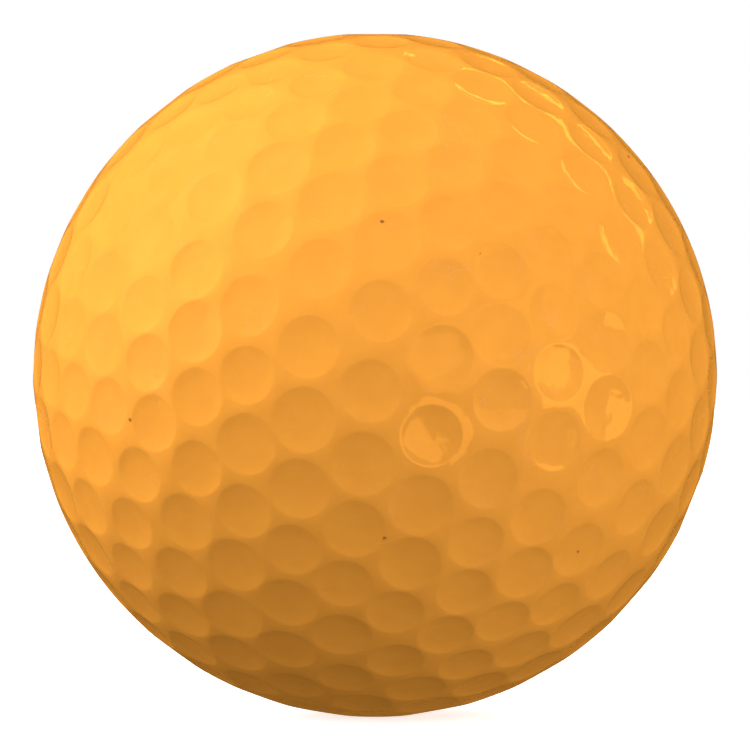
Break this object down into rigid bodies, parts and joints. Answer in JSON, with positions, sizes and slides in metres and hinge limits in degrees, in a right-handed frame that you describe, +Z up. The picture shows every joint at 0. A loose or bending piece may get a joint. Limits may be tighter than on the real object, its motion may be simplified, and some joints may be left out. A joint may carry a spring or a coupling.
{
  "type": "golf ball",
  "caption": "Dimpled golf ball with a glossy orange outer cover over a thin hard mantle and a solid rubber core.",
  "frame": {"origin": "centre of the ball", "axes": "+Z up as the ball rests on a tee and +Y away from the viewer. The pole of the dimple pattern leans 36 degrees from +Z, towards +X and 5.3 degrees on towards +Y."},
  "size_m": [0.0426, 0.0426, 0.0426],
  "materials": {
    "core_rubber": "matt moulded rubber",
    "mantle_ionomer": "smooth moulded ionomer",
    "cover_ionomer": "gloss clear coat over slightly translucent orange ionomer"
  },
  "bodies": {
    "root": {"core": "core_rubber", "mantle": "mantle_ionomer", "cover": "cover_ionomer"}
  },
  "joints": []
}
